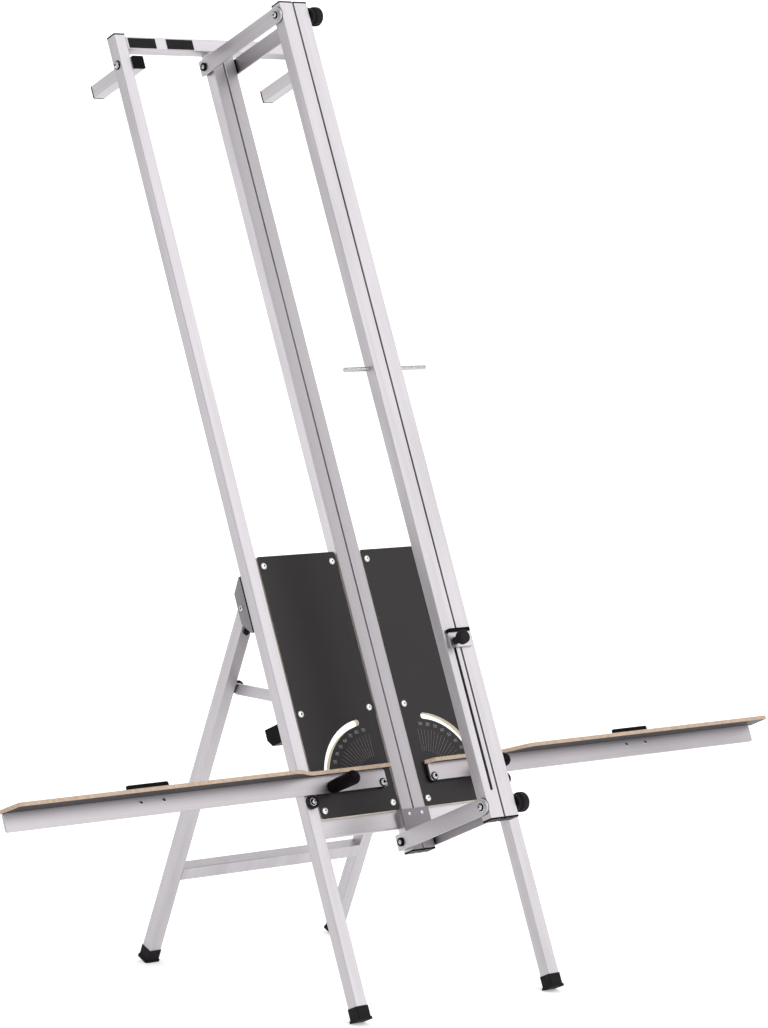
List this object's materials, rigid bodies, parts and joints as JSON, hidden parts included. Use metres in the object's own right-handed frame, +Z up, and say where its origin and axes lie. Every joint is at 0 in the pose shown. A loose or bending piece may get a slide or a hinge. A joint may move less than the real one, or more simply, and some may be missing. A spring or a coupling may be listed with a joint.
{
  "type": "insulation cutter",
  "caption": "Leaning folding stand for cutting insulation boards: slotted rear rail, slotted front rail on parallel arms, swivelling ledges with clamps, folding rear legs, scaffold hooks",
  "frame": {"origin": "on the floor, under the middle of the whole stand's bounding box", "axes": "+Z up, +Y towards the rear legs, +X to the right of someone who faces the front rail"},
  "size_m": [1.77, 0.9682, 1.7856],
  "materials": {
    "mill_aluminium": "satin",
    "black_plastic": "matte",
    "black_rubber": "matte",
    "film_faced_plywood": "satin film",
    "zinc_plated_steel": "bright"
  },
  "bodies": {
    "frame": {"left_upright": "mill_aluminium", "right_upright": "mill_aluminium", "end_caps": "black_plastic", "front_feet": "black_rubber", "top_crossbar": "mill_aluminium", "rear_rail_left": "mill_aluminium", "rear_rail_right": "mill_aluminium", "rail_joining_plate": "mill_aluminium", "frame_screws": "zinc_plated_steel", "left_plate": "film_faced_plywood", "right_plate": "film_faced_plywood", "plate_crossbars": "mill_aluminium", "wing_buffers": "black_rubber", "upright_bolts": "zinc_plated_steel", "wing_pivot_bolts": "zinc_plated_steel", "black_spacers": "black_plastic", "rear_arm_bolts": "zinc_plated_steel", "hinge_brackets": "mill_aluminium", "leg_pivot_bolts": "zinc_plated_steel", "stay_brackets": "mill_aluminium", "leg_clips": "black_plastic"},
    "left_wing": {"left_wing_bar": "mill_aluminium", "left_ledge": "film_faced_plywood", "left_back_stop": "black_plastic", "left_wing_fixings": "zinc_plated_steel"},
    "right_wing": {"right_wing_bar": "mill_aluminium", "right_ledge": "film_faced_plywood", "right_back_stop": "black_plastic", "right_wing_fixings": "zinc_plated_steel"},
    "left_handle": {"left_lock_handle": "black_plastic"},
    "right_handle": {"right_lock_handle": "black_plastic"},
    "top_arms": {"top_left_arm": "mill_aluminium", "top_right_arm": "mill_aluminium"},
    "bottom_arms": {"bottom_left_arm": "mill_aluminium", "bottom_right_arm": "mill_aluminium"},
    "front_rail": {"front_rail_left": "mill_aluminium", "front_rail_right": "mill_aluminium", "front_rail_caps": "black_plastic", "front_arm_spacers": "black_plastic", "front_arm_bolts": "zinc_plated_steel", "pull_rod": "zinc_plated_steel"},
    "slider": {"slider_block": "mill_aluminium", "slider_strip": "black_plastic"},
    "slider_grip": {"slider_knob": "black_plastic"},
    "top_knob": {"top_arm_knob": "black_plastic"},
    "bottom_knob": {"bottom_arm_knob": "black_plastic"},
    "rear_legs": {"left_rear_leg": "mill_aluminium", "right_rear_leg": "mill_aluminium", "rear_crossbar": "mill_aluminium", "rear_feet": "black_rubber", "leg_bumpers": "black_rubber", "stay_studs": "zinc_plated_steel"},
    "left_stay_bar": {"left_stay": "mill_aluminium"},
    "right_stay_bar": {"right_stay": "mill_aluminium"},
    "left_leg_knob": {"left_stay_knob": "black_plastic"},
    "right_leg_knob": {"right_stay_knob": "black_plastic"},
    "left_hook_body": {"left_hook": "mill_aluminium", "left_hook_caps": "black_plastic"},
    "right_hook_body": {"right_hook": "mill_aluminium", "right_hook_caps": "black_plastic"}
  },
  "joints": [
    {"name": "left_wing_swivel", "type": "hinge", "parent": "frame", "child": "left_wing", "pos_m": [-0.061, -0.21981, 0.38927], "axis": [0, 0.9135, -0.4067], "range_deg": [0, 79]},
    {"name": "right_wing_swivel", "type": "hinge", "parent": "frame", "child": "right_wing", "pos_m": [0.061, -0.21981, 0.38927], "axis": [0, -0.9135, 0.4067], "range_deg": [0, 79]},
    {"name": "left_handle_turn", "type": "hinge", "parent": "left_wing", "child": "left_handle", "pos_m": [-0.17802, -0.22265, 0.39272], "axis": [0, -0.9135, 0.4067], "range_deg": [0, 360]},
    {"name": "right_handle_turn", "type": "hinge", "parent": "right_wing", "child": "right_handle", "pos_m": [0.17802, -0.22265, 0.39272], "axis": [0, -0.9135, 0.4067], "range_deg": [0, 360]},
    {"name": "top_arms_fold", "type": "hinge", "parent": "frame", "child": "top_arms", "pos_m": [0, 0.36612, 1.66472], "axis": [-1, 0, 0], "range_deg": [-75, 0]},
    {"name": "bottom_arms_fold", "type": "hinge", "parent": "frame", "child": "bottom_arms", "pos_m": [0, -0.24887, 0.28344], "axis": [-1, 0, 0], "range_deg": [-75, 0]},
    {"name": "front_rail_swing", "type": "hinge", "parent": "top_arms", "child": "front_rail", "pos_m": [0, 0.15326, 1.75949], "axis": [-1, 0, 0], "range_deg": [0, 75]},
    {"name": "top_knob_turn", "type": "hinge", "parent": "front_rail", "child": "top_knob", "pos_m": [0.045, 0.15326, 1.75949], "axis": [1, 0, 0], "range_deg": [0, 360]},
    {"name": "bottom_knob_turn", "type": "hinge", "parent": "front_rail", "child": "bottom_knob", "pos_m": [0.045, -0.46172, 0.37821], "axis": [1, 0, 0], "range_deg": [0, 360]},
    {"name": "slider_travel", "type": "slide", "parent": "front_rail", "child": "slider", "axis": [0, 0.4067, 0.9135], "range_m": [-0.255, 0]},
    {"name": "slider_knob_turn", "type": "hinge", "parent": "slider", "child": "slider_grip", "pos_m": [-0.0145, -0.36103, 0.65968], "axis": [0, -0.9135, 0.4067], "range_deg": [0, 360]},
    {"name": "rear_legs_fold", "type": "hinge", "parent": "frame", "child": "rear_legs", "pos_m": [0, -0.0305, 0.69522], "axis": [1, 0, 0], "range_deg": [-41, 0]},
    {"name": "left_stay_swing", "type": "hinge", "parent": "frame", "child": "left_stay_bar", "pos_m": [0, -0.10643, 0.54065], "axis": [1, 0, 0], "range_deg": [0, 57.4]},
    {"name": "right_stay_swing", "type": "hinge", "parent": "frame", "child": "right_stay_bar", "pos_m": [0, -0.10643, 0.54065], "axis": [1, 0, 0], "range_deg": [0, 57.4]},
    {"name": "left_leg_knob_turn", "type": "hinge", "parent": "rear_legs", "child": "left_leg_knob", "pos_m": [-0.2, 0.03273, 0.54065], "axis": [1, 0, 0], "range_deg": [0, 360]},
    {"name": "right_leg_knob_turn", "type": "hinge", "parent": "rear_legs", "child": "right_leg_knob", "pos_m": [0.2, 0.03273, 0.54065], "axis": [1, 0, 0], "range_deg": [0, 360]},
    {"name": "left_hook_fold", "type": "hinge", "parent": "frame", "child": "left_hook_body", "pos_m": [-0.202, 0.3653, 1.66289], "axis": [1, 0, 0], "range_deg": [-90, 0]},
    {"name": "right_hook_fold", "type": "hinge", "parent": "frame", "child": "right_hook_body", "pos_m": [0.202, 0.3653, 1.66289], "axis": [1, 0, 0], "range_deg": [-90, 0]}
  ],
  "couplings": [
    {"joint": "bottom_arms_fold", "follows": "top_arms_fold", "ratio": 1},
    {"joint": "front_rail_swing", "follows": "top_arms_fold", "ratio": -1},
    {"joint": "left_stay_swing", "follows": "rear_legs_fold", "ratio": -1.4},
    {"joint": "right_stay_swing", "follows": "rear_legs_fold", "ratio": -1.4}
  ]
}
